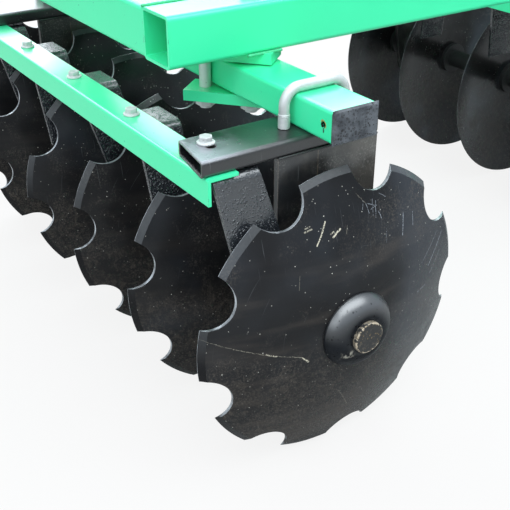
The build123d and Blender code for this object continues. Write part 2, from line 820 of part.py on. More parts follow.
write_node("link_pins", link_pins.part)
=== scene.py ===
from itertools import count
from math import cos, pi, radians, sin

import bpy
from mathutils import Matrix, Vector


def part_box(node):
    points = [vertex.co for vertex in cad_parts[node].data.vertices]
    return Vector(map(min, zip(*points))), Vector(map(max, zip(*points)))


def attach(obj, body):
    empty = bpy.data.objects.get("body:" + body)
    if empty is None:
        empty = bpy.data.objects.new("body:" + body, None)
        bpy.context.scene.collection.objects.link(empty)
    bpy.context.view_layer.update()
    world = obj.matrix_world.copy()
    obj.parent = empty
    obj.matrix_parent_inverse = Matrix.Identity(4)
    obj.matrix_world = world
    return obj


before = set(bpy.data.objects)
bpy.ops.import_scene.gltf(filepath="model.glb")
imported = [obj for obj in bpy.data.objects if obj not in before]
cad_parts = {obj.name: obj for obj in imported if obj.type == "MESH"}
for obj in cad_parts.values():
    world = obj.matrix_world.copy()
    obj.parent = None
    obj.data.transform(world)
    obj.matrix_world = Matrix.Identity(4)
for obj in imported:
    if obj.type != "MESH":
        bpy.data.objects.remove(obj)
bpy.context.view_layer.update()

# Looks of a mounted offset disc harrow, in metres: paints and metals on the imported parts,
# and the bolts, welds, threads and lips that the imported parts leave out.

# ------------------------------------------------------------------ places on the machine
disc_low, disc_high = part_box("rear_disc_1")
front_low, front_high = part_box("front_disc_1")
DISC_RADIUS = (disc_high[2] - disc_low[2]) / 2
AXLE_Z = (disc_high[2] + disc_low[2]) / 2
FRONT_AXLE_Y = (front_low[1] + front_high[1]) / 2
dome_low, dome_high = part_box("rear_end_dome")
REAR_AXLE_Y = (dome_low[1] + dome_high[1]) / 2
FIRST_RIM_X = disc_low[0]
RIM_PLACES = [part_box(f"rear_disc_{number}")[0][0] for number in range(1, 7)]
GANGS = {"rear": (1, REAR_AXLE_Y), "front": (-1, FRONT_AXLE_Y)}
beam_low, beam_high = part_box("rear_beam")
arm_low, arm_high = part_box("rear_hanger_arms")
ARM_TOP = arm_high[2]
ARM_BOTTOM = arm_low[2]
BAR_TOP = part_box("rear_scraper_bar")[1][2]
HANGER_BAYS = (0, 4)
UBOLT_LEG = 0.056
UBOLT_FROM_RIM = 0.066
HOLE_FROM_BEAM_END = 0.019
# How far behind the axle the painted reflection on the arm tops begins.
SHEEN_BEHIND_AXLE = 0.150

WHITE = (1, 1, 1, 1)
PRIMER_CREAM = (0.62, 0.58, 0.46, 1)
SCUFF_GREY = (0.66, 0.72, 0.80, 1)
GREY_SCRATCHES_FROM = 0.02
COOL_LIGHT = (0.90, 0.96, 1.0)


# ------------------------------------------------------------------ surface patterns
class Field:
    """A value over a surface. Sums and products of fields add Math nodes."""

    def __init__(self, tree, socket):
        self.tree = tree
        self.socket = socket

    def node(self, kind, settings=None, inputs=None, output=0):
        """Adds a node of this kind, and gives the field of one of its outputs."""
        made = self.tree.nodes.new(kind)
        for key, value in (settings or {}).items():
            setattr(made, key, value)
        for key, value in (inputs or {}).items():
            if isinstance(value, Field):
                self.tree.links.new(value.socket, made.inputs[key])
            else:
                made.inputs[key].default_value = value
        return Field(self.tree, made.outputs[output] if made.outputs else None)

    def maths(self, operation, other=0.0, clamp=False):
        settings = {"operation": operation, "use_clamp": clamp}
        return self.node("ShaderNodeMath", settings, {0: self, 1: other})

    def __add__(self, other):
        return self.maths("ADD", other)

    def __sub__(self, other):
        return self.maths("SUBTRACT", other)

    def __mul__(self, other):
        return self.maths("MULTIPLY", other)

    def __truediv__(self, other):
        return self.maths("DIVIDE", other)

    def __rsub__(self, other):
        return self.node("ShaderNodeMath", {"operation": "SUBTRACT"}, {0: other, 1: self})

    __radd__ = __add__
    __rmul__ = __mul__


def rise(field, low, high):
    """0 below low, 1 above high, and smooth between."""
    return field.node(
        "ShaderNodeMapRange",
        {"interpolation_type": "SMOOTHSTEP"},
        {"Value": field, "From Min": low, "From Max": high},
    )


def fall(field, low, high):
    """1 below low, 0 above high, and smooth between."""
    return 1 - rise(field, low, high)


def blend(factor, first, second):
    """Colour that goes from first to second as factor goes from 0 to 1."""
    return factor.node(
        "ShaderNodeMix", {"data_type": "RGBA"}, {0: factor, 6: first, 7: second}, output=2
    )


def moved(place, shift=(0, 0, 0), turn=(0, 0, 0), stretch=(1, 1, 1)):
    """A place stretched, turned and then shifted."""
    return place.node(
        "ShaderNodeMapping",
        None,
        {"Vector": place, "Location": shift, "Rotation": turn, "Scale": stretch},
    )


def noise(place, scale, detail=2.0, roughness=0.5, distortion=0.0):
    inputs = {
        "Vector": place,
        "Scale": scale,
        "Detail": detail,
        "Roughness": roughness,
        "Distortion": distortion,
    }
    return place.node("ShaderNodeTexNoise", None, inputs)


def specks(place, scale, size, share, softness=0.5):
    """Round flecks of mixed strength, one in each cell whose chance is over share."""
    cells = {"Vector": place, "Scale": scale}
    near = place.node("ShaderNodeTexVoronoi", None, cells)
    pick = place.node("ShaderNodeTexVoronoi", None, cells, output=1)
    chance = pick.node("ShaderNodeSeparateColor", None, {0: pick})
    strength = pick.node("ShaderNodeSeparateColor", None, {0: pick}, output=1)
    there = fall(near, size * softness, size) * rise(chance, share, share + 0.02)
    return there * (strength * 0.7 + 0.3)


def hair_scratches(place, turn, across, along, share):
    """Fine straight scratches, all one way. The pattern's scale is given across and along them."""
    run = moved(place, turn=turn, stretch=(1, across, along))
    return rise(noise(run, 1.0, 1.0), share, share + 0.03)


def parts_of(vector):
    """The X, Y and Z of a vector."""
    return [
        vector.node("ShaderNodeSeparateXYZ", None, {0: vector}, output=axis)
        for axis in range(3)
    ]


def surface_normal(field):
    return field.node("ShaderNodeNewGeometry", output=1)


def round_reach(first, second):
    """Distance from the line where both fields are 0."""
    return (first * first + second * second).maths("SQRT")


def new_paint(name):
    """An empty material, and the field of the places on its objects."""
    material = bpy.data.materials.new(name)
    material.use_nodes = True
    tree = material.node_tree
    tree.nodes.clear()
    return material, Field(tree, None).node("ShaderNodeTexCoord", output=3)


def finish_paint(material, colour, rough, relief, depth, steady, edge=0.0016, **varied):
    """Shader of a material: what varies is linked, what is steady is set on its socket.

    Relief is as deep as depth, and the edges look rounded to the radius edge.
    """
    soft = colour.node("ShaderNodeBevel", {"samples": 4}, {"Radius": edge})
    bump = {"Height": relief, "Strength": 1.0, "Distance": depth, "Normal": soft}
    normal = colour.node("ShaderNodeBump", None, bump)
    inputs = {"Base Color": colour, "Roughness": rough, "Normal": normal}
    shader = colour.node("ShaderNodeBsdfPrincipled", None, {**inputs, **varied, **steady})
    colour.node("ShaderNodeOutputMaterial", None, {"Surface": shader})
    return material


def coat_over(material):
    """The shader of a finished material, and the fields of its colour and its places."""
    shader = next(one for one in material.node_tree.nodes if one.type == "BSDF_PRINCIPLED")
    under = Field(material.node_tree, shader.inputs["Base Color"].links[0].from_socket)
    return shader, under, under.node("ShaderNodeTexCoord", output=3)


def worn_edge(place, radius):
    """1 on sharp edges, 0 away from them."""
    soft = place.node("ShaderNodeBevel", {"samples": 6}, {"Radius": radius})
    pair = {0: soft, 1: surface_normal(place)}
    same = place.node("ShaderNodeVectorMath", {"operation": "DOT_PRODUCT"}, pair, output=1)
    return fall(same, 0.72, 0.97)


def axle_place(place, centre):
    """Place from the axle's point centre, how far forward and up it is, and its radius."""
    local = moved(place, shift=tuple(-value for value in centre))
    along, forward, up = parts_of(local)
    return local, forward, up, round_reach(forward, up)


def stroke(forward, up, start, end, width):
    """A scratch from start to end on the disc, in metres from its axle."""
    step_y = end[0] - start[0]
    step_z = end[1] - start[1]
    square = step_y * step_y + step_z * step_z
    from_y = forward - start[0]
    from_z = up - start[1]
    share = ((from_y * step_y + from_z * step_z) / square).maths("ADD", 0.0, clamp=True)
    off_y = from_y - share * step_y
    off_z = from_z - share * step_z
    return fall(round_reach(off_y, off_z), width * 0.35, width)


# ------------------------------------------------------------------ paints and metals
def green_paint(name, top_gloss=0.8):
    """Green paint, specked with dirt, with more gloss where it faces up."""
    material, place = new_paint(name)
    cloud = noise(place, 5.0, 3.0)
    colour = blend(cloud, (0.036, 0.72, 0.345, 1), (0.052, 0.81, 0.400, 1))
    dirt = specks(place, 95.0, 0.16, 0.955)
    dirt = dirt.maths("MAXIMUM", specks(place, 240.0, 0.2, 0.93) * 0.6)
    colour = blend(dirt * 0.75, colour, (0.035, 0.05, 0.035, 1))
    chips = worn_edge(place, 0.0022) * rise(noise(place, 60.0, 4.0, 0.7), 0.54, 0.62)
    colour = blend(chips * 0.85, colour, (0.05, 0.06, 0.04, 1))
    rough = cloud * 0.12 + 0.26 + dirt * 0.4
    relief = noise(place, 75.0, 2.0) * 0.35 + noise(place, 9.0, 1.0)
    upwards = parts_of(surface_normal(place))[2]
    washed = rise(upwards, 0.2, 0.9) * top_gloss + 0.2
    steady = {"Coat Roughness": 0.28, "Coat IOR": 1.8, "IOR": 1.5, "Specular IOR Level": 0.25}
    varied = {"Coat Weight": (1 - dirt) * washed}
    return finish_paint(material, colour, rough, relief, 0.0004, steady, 0.0010, **varied)


def beam_paint(name, hole_x, hole_y, hole_z):
    """Green paint with the rusty, dripping rim of the hole near the beam's end, and painted shade
    inside the hole.
    """
    material = green_paint(name)
    shader, under, place = coat_over(material)
    across, forward, up = parts_of(moved(place, shift=(-hole_x, -hole_y, -hole_z)))
    ragged = (noise(place, 260.0, 2.0) - 0.5) * 0.0035
    reach = round_reach(across, up) + ragged
    ring = fall(reach, 0.0064, 0.0074) * rise(across * 0.7 + up, -0.003, 0.001)
    hole_shade = fall(reach, 0.0050, 0.0053)
    drip = fall((across - 0.001).maths("ABSOLUTE") + ragged, 0.0006, 0.0016)
    drip = drip * fall(up, -0.0045, -0.003) * rise(up, -0.0135, -0.011)
    outer = fall(forward, -0.036, -0.034)
    colour = blend(ring * outer * 0.85, under, (0.42, 0.30, 0.07, 1))
    # Painted shade: near black inside the hole.
    colour = blend(hole_shade, colour, (0.010, 0.012, 0.010, 1))
    colour = blend(drip * outer, colour, (0.03, 0.05, 0.03, 1))
    material.node_tree.links.new(colour.socket, shader.inputs["Base Color"])
    return material


def black_paint(name, dust=0.35, gloss=0.24, edge=0.0016, painted_sheen_from=None, dark_legs=()):
    """Black paint with dust and scuffs; on arm tops, a pale painted reflection behind the given
    point, and dark rings round the bolt legs.
    """
    material, place = new_paint(name)
    cloud = noise(place, 11.0, 4.0, 0.6)
    film = rise(noise(place, 3.2, 3.0, 0.55), 0.42, 0.72)
    colour = blend(cloud, (0.004, 0.0045, 0.005, 1), (0.012, 0.0135, 0.016, 1))
    colour = blend(film * dust, colour, (0.060, 0.055, 0.048, 1))
    if painted_sheen_from is not None:
        across, along_arm, height = parts_of(place)
        on_top = rise(height, ARM_TOP - 0.004, ARM_TOP - 0.001)
        # Painted reflection: a pale bluish patch on the arm tops behind the given point.
        drift = noise(place, 13.0, 3.0, 0.6)
        painted_sheen = fall(along_arm + drift * 0.05, painted_sheen_from - 0.055, painted_sheen_from + 0.07)
        painted_sheen = painted_sheen * rise(drift, 0.34, 0.62)
        colour = blend(painted_sheen * on_top * 0.78, colour, (0.40, 0.43, 0.48, 1))
        # Near-black rings on the arm tops round each U-bolt leg.
        ragged = (noise(place, 120.0, 2.0) - 0.5) * 0.006
        for leg_x, leg_y in dark_legs:
            near_leg = round_reach(across - leg_x, along_arm - leg_y) + ragged
            dirt = fall(near_leg, 0.0105, 0.0125) * on_top
            colour = blend(dirt, colour, (0.002, 0.002, 0.002, 1))
    flecks = specks(place, 130.0, 0.15, 0.90)
    flecks = flecks.maths("MAXIMUM", specks(place, 310.0, 0.20, 0.92) * 0.6)
    scuffs = hair_scratches(place, (0.3, 0.2, 0.5), 260.0, 9.0, 0.72)
    scuffs = scuffs.maths("MAXIMUM", hair_scratches(place, (1.1, 0.6, 1.9), 300.0, 14.0, 0.73))
    colour = blend(flecks * 0.8, colour, (0.42, 0.41, 0.36, 1))
    colour = blend(scuffs * 0.25, colour, (0.16, 0.17, 0.17, 1))
    worn = worn_edge(place, 0.0018) * rise(noise(place, 45.0, 3.0, 0.65), 0.40, 0.60)
    colour = blend(worn * 0.65, colour, (0.38, 0.33, 0.26, 1))
    rough = cloud * 0.12 + gloss + film * 0.10 + scuffs * 0.1
    relief = noise(place, 210.0, 3.0, 0.6) * 0.35 + noise(place, 26.0, 2.0)
    steady = {"IOR": 1.5, "Specular IOR Level": 0.9}
    return finish_paint(material, colour, rough, relief, 0.0006, steady, edge)


def drop_paint(name):
    """Black paint dried with raised drops in it, rubbed grey on its edges."""
    material, place = new_paint(name)
    cloud = noise(place, 9.0, 4.0, 0.6)
    crowd = rise(noise(place, 26.0, 2.0), 0.34, 0.56)
    large = specks(place, 215.0, 0.46, 0.25, 0.2) * crowd
    small = specks(place, 360.0, 0.48, 0.20, 0.2)
    colour = blend(cloud, (0.006, 0.0075, 0.0095, 1), (0.024, 0.028, 0.034, 1))
    pocks = specks(moved(place, shift=(1.3, 2.1, 0.7)), 190.0, 0.34, 0.80, 0.6)
    colour = blend(pocks, colour, (0.002, 0.002, 0.003, 1))
    flecks = specks(moved(place, shift=(4.3, 0.1, 2.7)), 260.0, 0.20, 0.90)
    colour = blend(flecks * 0.7, colour, (0.42, 0.42, 0.38, 1))
    worn = worn_edge(place, 0.0022) * rise(noise(place, 70.0, 3.0, 0.65), 0.42, 0.58)
    colour = blend(worn * 0.45, colour, (0.26, 0.26, 0.24, 1))
    rough = cloud * 0.10 + 0.20
    relief = large * 1.2 + small * 0.8 - pocks * 0.7 + cloud
    steady = {"IOR": 1.6, "Specular IOR Level": 1.0}
    return finish_paint(material, colour, rough, relief, 0.0011, steady, 0.0026)


def plate_paint(name, axle_y):
    """Black paint of the hanger plates, browner with dust and grit towards the front."""
    material = black_paint(name)
    shader, under, place = coat_over(material)
    forward = parts_of(moved(place, shift=(0, -axle_y, 0)))[1]
    dusty = noise(place, 17.0, 4.0, 0.65) + rise(forward, -0.04, 0.10) * 0.34
    colour = blend(rise(dusty, 0.46, 0.82) * 0.75, under, (0.088, 0.080, 0.070, 1))
    grit = rise(noise(place, 300.0, 3.0, 0.7), 0.53, 0.64)
    grit = grit * rise(noise(place, 12.0, 2.0), 0.34, 0.58)
    colour = blend(grit * 0.7, colour, (0.17, 0.165, 0.15, 1))
    seam = fall((forward + 0.024).maths("ABSOLUTE"), 0.0004, 0.0011)
    seam = seam * rise(noise(place, 50.0, 3.0), 0.38, 0.5)
    colour = blend(seam * 0.7, colour, (0.16, 0.125, 0.09, 1))
    material.node_tree.links.new(colour.socket, shader.inputs["Base Color"])
    return material


def cast_black(name):
    """Black paint over rough castings, a little rusty in patches."""
    material, place = new_paint(name)
    grain = noise(place, 320.0, 4.0, 0.65)
    cloud = noise(place, 16.0, 3.0)
    colour = blend(cloud, (0.008, 0.009, 0.010, 1), (0.028, 0.028, 0.028, 1))
    rust = rise(noise(place, 40.0, 4.0, 0.7), 0.60, 0.75)
    colour = blend(rust * 0.6, colour, (0.07, 0.055, 0.04, 1))
    return finish_paint(material, colour, grain * 0.3 + 0.42, grain, 0.0011, {"IOR": 1.45})


def pitted_plastic(name):
    """Weathered plastic of the beam's end caps: greyed, with dark pits, and a pale painted
    highlight along the edges.
    """
    material, place = new_paint(name)
    cloud = noise(place, 28.0, 4.0, 0.65)
    patchy = rise(noise(place, 60.0, 3.0), 0.36, 0.52)
    pits = specks(place, 150.0, 0.40, 0.45, 0.75) * patchy
    pits = pits.maths("MAXIMUM", specks(place, 290.0, 0.42, 0.62, 0.75))
    colour = blend(rise(cloud, 0.32, 0.68), (0.022, 0.027, 0.034, 1), (0.115, 0.128, 0.146, 1))
    colour = blend(pits, colour, (0.005, 0.005, 0.006, 1))
    # Painted highlight: a pale rim along the cap's edges.
    edge = worn_edge(place, 0.0022)
    colour = blend(edge * 0.7, colour, (0.30, 0.31, 0.31, 1))
    rough = cloud * 0.25 + 0.36
    relief = (1 - pits) + noise(place, 130.0, 3.0) * 0.3
    return finish_paint(material, colour, rough, relief, 0.0007, {"IOR": 1.47})


def zinc_plate(name, tone):
    """Zinc plating as pale as tone, with white bloom and some grime."""
    material, place = new_paint(name)
    cloud = noise(place, 34.0, 4.0, 0.6)
    bloom = rise(noise(place, 70.0, 3.0, 0.6), 0.50, 0.72)
    dark = (tone * 0.72, tone * 0.76, tone * 0.76, 1)
    pale = (tone, tone * 1.03, tone * 1.02, 1)
    colour = blend(cloud, dark, pale)
    colour = blend(bloom * 0.5, colour, (0.66, 0.69, 0.68, 1))
    grime = specks(place, 210.0, 0.3, 0.90) + rise(noise(place, 22.0, 4.0, 0.7), 0.66, 0.74)
    grime = grime.maths("MINIMUM", 1.0)
    colour = blend(grime * 0.55, colour, (0.09, 0.085, 0.07, 1))
    rough = cloud * 0.2 + 0.46 + bloom * 0.15
    metal = 0.52 - bloom * 0.30 - grime * 0.2
    relief = noise(place, 300.0, 2.0)
    return finish_paint(material, colour, rough, relief, 0.0003, {"IOR": 1.6}, Metallic=metal)


def weld_steel(name, tint):
    """A rough weld bead under the paint of the parts that it joins."""
    material, place = new_paint(name)
    cloud = noise(place, 120.0, 3.0)
    colour = blend(cloud, tint, tuple(value * 0.55 for value in tint[:3]) + (1,))
    relief = noise(place, 420.0, 3.0, 0.7)
    return finish_paint(material, colour, cloud * 0.2 + 0.25, relief, 0.0008, {"IOR": 1.5})


def disc_paint(name, centre, hand, seed, marks, dust, sheen_strength, polished):
    """Painted disc steel: dusty face with a painted bluish sheen, ground bevel with a painted
    highlight on its upper half and painted shade on its lower half, polished rim, scratches and
    specks.
    """
    material, place = new_paint(name)
    local, forward, up, reach = axle_place(place, centre)
    shifted = moved(local, shift=(seed * 1.7, seed * 0.9, seed * 1.3))
    cloud = noise(shifted, 5.5, 4.0, 0.55)
    blot = noise(shifted, 14.0, 5.0, 0.62, 0.4)
    mottle = noise(shifted, 85.0, 5.0, 0.75)
    colour = blend(cloud, (0.0036, 0.0042, 0.0050, 1), (0.0146, 0.0142, 0.0150, 1))
    low_side = fall(up, -0.16, 0.08) * 0.7 + rise(forward, 0.02, 0.2) * 0.45
    film = rise(blot * 0.62 + low_side * 0.18 + mottle * 0.30, 0.46, 0.90)
    colour = blend(film * dust, colour, (0.038, 0.036, 0.034, 1))
    slant = moved(shifted, turn=(-0.40, 0, 0), stretch=(1, 3.5, 24.0))
    streaks = rise(noise(slant, 1.0, 3.0, 0.6), 0.44, 0.68) * fall(up, 0.10, 0.17)
    colour = blend(streaks * (0.55 if marks else 0.15), colour, (0.050, 0.042, 0.036, 1))
    grit = rise(mottle, 0.50, 0.62) * rise(low_side + blot * 0.6, 0.30, 0.85)
    colour = blend(grit * 0.45, colour, (0.050, 0.041, 0.033, 1))
    # Painted sheen: a pale bluish film that stands in for a reflection, stronger towards the
    # front.
    painted_sheen = noise(shifted, 4.5, 3.0, 0.55) + rise(forward, 0.02, 0.20) * 0.52
    colour = blend(rise(painted_sheen, 0.46, 0.90) * sheen_strength, colour, (0.056, 0.065, 0.080, 1))
    dusting = rise(noise(shifted, 300.0, 3.0, 0.8), 0.50, 0.64)
    dusting = dusting * rise(blot + low_side * 0.35, 0.46, 0.8)
    colour = blend(dusting * 0.55, colour, (0.115, 0.100, 0.084, 1))
    crowd = rise(noise(shifted, 9.0, 2.0), 0.40, 0.56)
    flecks = specks(shifted, 96.0, 0.108, 0.70) * crowd
    other_flecks = specks(moved(shifted, shift=(3.1, 1.2, 0.4)), 190.0, 0.17, 0.88)
    flecks = flecks.maths("MAXIMUM", other_flecks)
    colour = blend(flecks, colour, (0.60, 0.59, 0.53, 1))
    rounds = {0: reach * 620.0, 1: forward.maths("ARCTAN2", up) * 1.6, 2: seed}
    rings = noise(place.node("ShaderNodeCombineXYZ", None, rounds), 1.0, 2.0)
    rings = rise(rings, 0.70, 0.73) * rise(noise(local, 9.0, 2.0), 0.5, 0.6)
    hairs = hair_scratches(shifted, (0.15, 0, 0), 420.0, 16.0, 0.735)
    hairs = hairs.maths("MAXIMUM", hair_scratches(shifted, (-0.9, 0, 0), 430.0, 12.0, 0.74))
    hairs = hairs * rise(noise(shifted, 7.0, 2.0), 0.48, 0.58)
    marks_light = (rings * 0.5).maths("MAXIMUM", hairs * 0.5)
    colour = blend(marks_light * 0.4, colour, (0.16, 0.17, 0.18, 1))
    wobble = (noise(local, 160.0, 3.0) - 0.5) * 0.0022
    chipped = rise(noise(local, 420.0, 2.0), 0.36, 0.50)
    for start, end, width, strength in marks:
        line = stroke(forward + wobble, up + wobble, start, end, width) * chipped
        tint = SCUFF_GREY if start[0] > GREY_SCRATCHES_FROM else PRIMER_CREAM
        colour = blend(line * strength, colour, tint)
    facing = parts_of(surface_normal(place))[0] * hand
    wall = fall(facing.maths("ABSOLUTE"), 0.25, 0.45)
    ragged = (noise(local, 90.0, 3.0) - 0.5) * 0.0012
    bevel = rise(reach + ragged, DISC_RADIUS - 0.0092, DISC_RADIUS - 0.0086)
    bevel = bevel * rise(facing, 0.02, 0.1)
    # Ground bevel: painted highlight on its upper half, and painted shade, near black, on its
    # lower half, both in the disc's own coordinates.
    lit_bevel = rise(up, -0.02, 0.10)
    colour = blend(bevel * (1 - lit_bevel) * 0.9, colour, (0.002, 0.002, 0.003, 1))
    polish = rise(noise(local, 30.0, 3.0, 0.6), 0.30, 0.62)
    # Pale steel: the painted highlight of the upper bevel, and the bare polished rim walls.
    bevel_highlight_and_bare_rim = (bevel * lit_bevel * 0.095).maths("MAXIMUM", wall * polish * polished)
    steel = blend(mottle, (0.26, 0.28, 0.31, 1), (0.62, 0.65, 0.68, 1))
    colour = blend(bevel_highlight_and_bare_rim, colour, steel)
    rough = cloud * 0.08 + 0.19 + film * 0.20 + marks_light * 0.06 + grit * 0.1
    metal = wall * polish * (0.5 * polished)
    relief = noise(shifted, 190.0, 3.0, 0.6) * 0.22 + blot * 0.7
    steady = {"IOR": 1.5, "Specular IOR Level": 0.17}
    return finish_paint(material, colour, rough, relief, 0.0002, steady, Metallic=metal)


def axle_end_paint(name, axle_y):
    """Black axle whose end boss has a chipped ring down to the primer."""
    material, place = new_paint(name)
    reach = axle_place(place, (0, axle_y, AXLE_Z))[3]
    cloud = noise(place, 55.0, 4.0, 0.65)
    colour = blend(cloud, (0.004, 0.004, 0.004, 1), (0.020, 0.020, 0.020, 1))
    pits = rise(noise(place, 190.0, 3.0, 0.7), 0.54, 0.64)
    colour = blend(pits * 0.35, colour, (0.14, 0.12, 0.085, 1))
    rust = specks(place, 260.0, 0.34, 0.78)
    colour = blend(rust * 0.6, colour, (0.36, 0.24, 0.10, 1))
    ragged = (noise(place, 150.0, 4.0, 0.75) - 0.5) * 0.010
    ring = rise(reach + ragged, 0.0243, 0.0252) * rise(noise(place, 95.0, 3.0, 0.7), 0.43, 0.50)
    tone = blend(noise(place, 260.0, 2.0), (0.42, 0.30, 0.16, 1), (0.62, 0.58, 0.50, 1))
    facing = parts_of(surface_normal(place))[0].maths("ABSOLUTE")
    colour = blend(ring * (rise(facing, 0.3, 0.8) * 0.55 + 0.3), colour, tone)
    relief = cloud + ring * 0.3
    return finish_paint(material, colour, cloud * 0.3 + 0.4, relief, 0.0012, {"IOR": 1.5})


def dome_paint(name, axle_y):
    """Smooth black pressed cap, dulled by dust underneath and scuffed low on its face."""
    material, place = new_paint(name)
    cloud = noise(place, 24.0, 4.0, 0.6)
    colour = blend(cloud, (0.005, 0.006, 0.007, 1), (0.016, 0.018, 0.022, 1))
    forward, up = axle_place(place, (0, axle_y, AXLE_Z))[1:3]
    off_forward = (forward + 0.033).maths("ABSOLUTE") * 0.6
    off_patch = off_forward.maths("MAXIMUM", (up + 0.024).maths("ABSOLUTE"))
    patch = fall(off_patch, 0.002, 0.009) * rise(noise(place, 160.0, 4.0, 0.7), 0.46, 0.60)
    colour = blend(patch * 0.7, colour, (0.42, 0.40, 0.34, 1))
    flecks = specks(place, 210.0, 0.2, 0.93)
    colour = blend(flecks * 0.7, colour, (0.4, 0.4, 0.37, 1))
    pocks = specks(moved(place, shift=(0.7, 2.9, 1.1)), 170.0, 0.34, 0.72, 0.6)
    colour = blend(pocks, colour, (0.002, 0.002, 0.003, 1))
    upwards = parts_of(surface_normal(place))[2]
    shine = rise(upwards, -0.10, 0.55) * (1 - pocks * 0.7)
    relief = noise(place, 120.0, 3.0, 0.6) + noise(place, 38.0, 2.0) * 1.5 - pocks * 0.5
    rough = cloud * 0.14 + 0.3
    steady = {"IOR": 1.5, "Specular IOR Level": 0.05, "Coat Roughness": 0.34, "Coat IOR": 2.2}
    varied = {"Coat Weight": shine}
    return finish_paint(material, colour, rough, relief, 0.0009, steady, **varied)


def give(material, *nodes):
    """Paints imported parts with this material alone."""
    for node in nodes:
        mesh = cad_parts[node].data
        mesh.materials.clear()
        mesh.materials.append(material)


GREEN = green_paint("spring_green_paint")
FRAME_GREEN = green_paint("spring_green_frame_paint", 0.15)
SCRAPER = drop_paint("rained_on_scraper_paint")
CAST = cast_black("black_casting")
ZINC = zinc_plate("zinc_plate", 0.78)
BRIGHT_ZINC = zinc_plate("fresh_zinc_plate", 0.62)
WELD_GREEN = weld_steel("painted_weld_green", (0.05, 0.60, 0.27, 1))
WELD_BLACK = weld_steel("painted_weld_black", (0.03, 0.031, 0.032, 1))
CAPS = pitted_plastic("weathered_cap_plastic")

give(
    FRAME_GREEN, "side_member_right", "side_member_left", "front_cross_member",
    "centre_cross_member", "rear_cross_member", "mast_ears", "mast_legs", "mast_braces",
)
give(GREEN, "link_brackets", "pivot_lugs", "angle_plates")
give(GREEN, "rear_scraper_bar", "front_scraper_bar")
give(ZINC, "brace_bolt", "link_pins", "pivot_bolts")
hole_z = (beam_low[2] + beam_high[2]) / 2
for gang, (hand, axle_y) in GANGS.items():
    hole_x = hand * (beam_high[0] - HOLE_FROM_BEAM_END)
    give(beam_paint(f"{gang}_beam_paint", hole_x, axle_y, hole_z), f"{gang}_beam")
    give(CAPS, f"{gang}_beam_caps")
    legs = [
        (hand * (RIM_PLACES[bay] - UBOLT_FROM_RIM), axle_y - UBOLT_LEG)
        for bay in HANGER_BAYS
    ]
    # The painted reflection on the arm tops lies behind this point.
    painted_sheen_from = axle_y - SHEEN_BEHIND_AXLE
    arm_paint = black_paint(f"{gang}_arm_paint", 0.18, 0.20, 0.0045, painted_sheen_from, legs)
    give(arm_paint, f"{gang}_hanger_arms")
    give(SCRAPER, f"{gang}_scrapers")
    give(plate_paint(f"{gang}_plate_paint", axle_y), f"{gang}_hanger_plates")
    give(CAST, f"{gang}_bearing_housings", f"{gang}_spools")
    give(ZINC, f"{gang}_swing_fittings")
    give(BRIGHT_ZINC, f"{gang}_u_bolts")
    give(axle_end_paint(f"{gang}_axle_paint", axle_y), f"{gang}_axle_shaft")
    give(dome_paint(f"{gang}_dome_paint", axle_y), f"{gang}_end_dome")

bpy.ops.object.select_all(action="DESELECT")


# ------------------------------------------------------------------ discs
# Scratches of the right-hand rear disc, from its axle: start, end, width, strength.
NEAR_MARKS = (
    ((-0.048, 0.189), (-0.057, 0.172), 0.0016, 0.9),
    ((-0.057, 0.172), (-0.067, 0.158), 0.0014, 0.9),
    ((-0.038, 0.164), (-0.032, 0.168), 0.0020, 0.9),
    ((-0.030, 0.170), (-0.024, 0.173), 0.0020, 0.9),
    ((-0.041, 0.170), (-0.036, 0.172), 0.0014, 0.7),
    ((-0.084, 0.181), (-0.071, 0.184), 0.0016, 0.45),
    ((-0.082, 0.186), (-0.073, 0.188), 0.0014, 0.40),
    ((-0.251, 0.044), (-0.207, 0.022), 0.0008, 0.16),
    ((-0.207, 0.022), (-0.149, -0.003), 0.0008, 0.28),
    ((-0.149, -0.003), (-0.115, -0.014), 0.0008, 0.26),
    ((-0.115, -0.014), (-0.099, -0.020), 0.0008, 0.35),
    ((-0.099, -0.021), (-0.089, -0.031), 0.0018, 0.9),
    ((-0.158, 0.002), (-0.142, -0.006), 0.0015, 0.55),
    ((0.107, 0.161), (0.101, 0.127), 0.0009, 0.4),
    ((0.130, 0.155), (0.128, 0.134), 0.0008, 0.3),
    ((0.015, 0.215), (0.030, 0.197), 0.0007, 0.18),
    ((0.030, 0.197), (0.034, 0.182), 0.0008, 0.30),
    ((0.034, 0.196), (0.047, 0.190), 0.0007, 0.25),
    ((0.044, 0.200), (0.041, 0.176), 0.0007, 0.20),
    ((0.050, 0.196), (0.046, 0.172), 0.0006, 0.30),
    ((0.053, 0.180), (0.058, 0.168), 0.0007, 0.35),
    ((0.026, 0.203), (0.022, 0.190), 0.0006, 0.25),
    ((0.038, 0.186), (0.050, 0.189), 0.0006, 0.30),
    ((0.060, 0.205), (0.072, 0.196), 0.0006, 0.22),
    ((0.066, 0.150), (0.063, 0.128), 0.0005, 0.20),
    ((-0.010, 0.176), (-0.014, 0.163), 0.0005, 0.22),
    ((-0.100, 0.120), (-0.103, 0.098), 0.0005, 0.18),
    ((0.213, 0.090), (0.170, 0.047), 0.0009, 0.35),
    ((0.206, 0.060), (0.176, 0.030), 0.0008, 0.25),
    ((0.198, 0.098), (0.150, 0.060), 0.0007, 0.2),
    ((0.142, 0.010), (0.165, 0.014), 0.0009, 0.3),
    ((-0.020, -0.120), (0.010, -0.170), 0.0008, 0.15),
)
